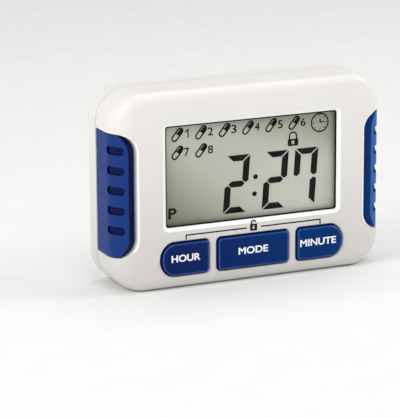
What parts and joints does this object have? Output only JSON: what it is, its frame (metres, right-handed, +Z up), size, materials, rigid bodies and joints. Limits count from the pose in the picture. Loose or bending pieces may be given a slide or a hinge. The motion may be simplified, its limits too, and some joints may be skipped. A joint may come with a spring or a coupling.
{
  "type": "pill timer",
  "caption": "Pocket pill timer: white rounded housing with blue side grips, segment display, press keys, sliding battery door over one cell and a fold-out stand.",
  "frame": {"origin": "centre of the box round the timer, at the level of its lower edge, on which it stands", "axes": "+X to the right of someone who reads the display, -Y out of the display, +Z up"},
  "size_m": [0.08, 0.021, 0.054],
  "materials": {
    "housing": "warm white moulded plastic, fine satin gloss",
    "grip": "blue soft-touch plastic",
    "key": "dark blue plastic, satin",
    "lens": "clear window, polished",
    "display_glass": "clear glass with transparent tracks",
    "reflector": "grey-green reflective film",
    "holder": "black moulded frame",
    "contact_rubber": "layered contact rubber",
    "board": "green lacquered laminate",
    "chip": "black moulding compound",
    "capacitor_sleeve": "dark blue sleeve",
    "buzzer": "black moulded case",
    "disc_brass": "thin sheet",
    "mat_silicone": "grey silicone",
    "plated_steel": "nickel-plated",
    "screw_steel": "zinc-plated",
    "cell": "copper-coloured metallic wrap"
  },
  "bodies": {
    "housing": {"front_housing": "housing", "rear_housing": "housing", "left_grip": "grip", "right_grip": "grip", "display_lens": "lens", "display_glass": "display_glass", "display_rear_glass": "display_glass", "display_reflector": "reflector", "display_holder": "holder", "zebra_strip": "contact_rubber", "circuit_board": "board", "main_chip": "chip", "crystal": "plated_steel", "capacitor": "capacitor_sleeve", "buzzer_case": "buzzer", "buzzer_disc": "disc_brass", "keypad_mat": "mat_silicone", "negative_plate": "plated_steel", "positive_plate": "plated_steel", "battery_spring": "plated_steel", "battery": "cell", "stand_pin": "plated_steel", "case_screw_1": "screw_steel", "board_screw_1": "screw_steel", "case_screw_2": "screw_steel", "board_screw_2": "screw_steel", "case_screw_3": "screw_steel", "board_screw_3": "screw_steel", "case_screw_4": "screw_steel", "board_screw_4": "screw_steel"},
    "hour_key": {"hour_key": "key"},
    "mode_key": {"mode_key": "key"},
    "minute_key": {"minute_key": "key"},
    "battery_door": {"battery_door": "housing"},
    "stand": {"stand_leg": "housing"}
  },
  "joints": [
    {"name": "hour_key_press", "type": "slide", "parent": "housing", "child": "hour_key", "axis": [0, 1, 0], "range_m": [0, 0.0009], "stiffness_N_per_m": 1500, "springref_m": -0.0002, "deforming": ["keypad_mat"]},
    {"name": "mode_key_press", "type": "slide", "parent": "housing", "child": "mode_key", "axis": [0, 1, 0], "range_m": [0, 0.0009], "stiffness_N_per_m": 1500, "springref_m": -0.0002, "deforming": ["keypad_mat"]},
    {"name": "minute_key_press", "type": "slide", "parent": "housing", "child": "minute_key", "axis": [0, 1, 0], "range_m": [0, 0.0009], "stiffness_N_per_m": 1500, "springref_m": -0.0002, "deforming": ["keypad_mat"]},
    {"name": "battery_door_slide", "type": "slide", "parent": "housing", "child": "battery_door", "axis": [0, 0, 1], "range_m": [0, 0.019]},
    {"name": "stand_fold", "type": "hinge", "parent": "housing", "child": "stand", "pos_m": [0, 0.0087, 0.0305], "axis": [1, 0, 0], "range_deg": [0, 50]}
  ]
}
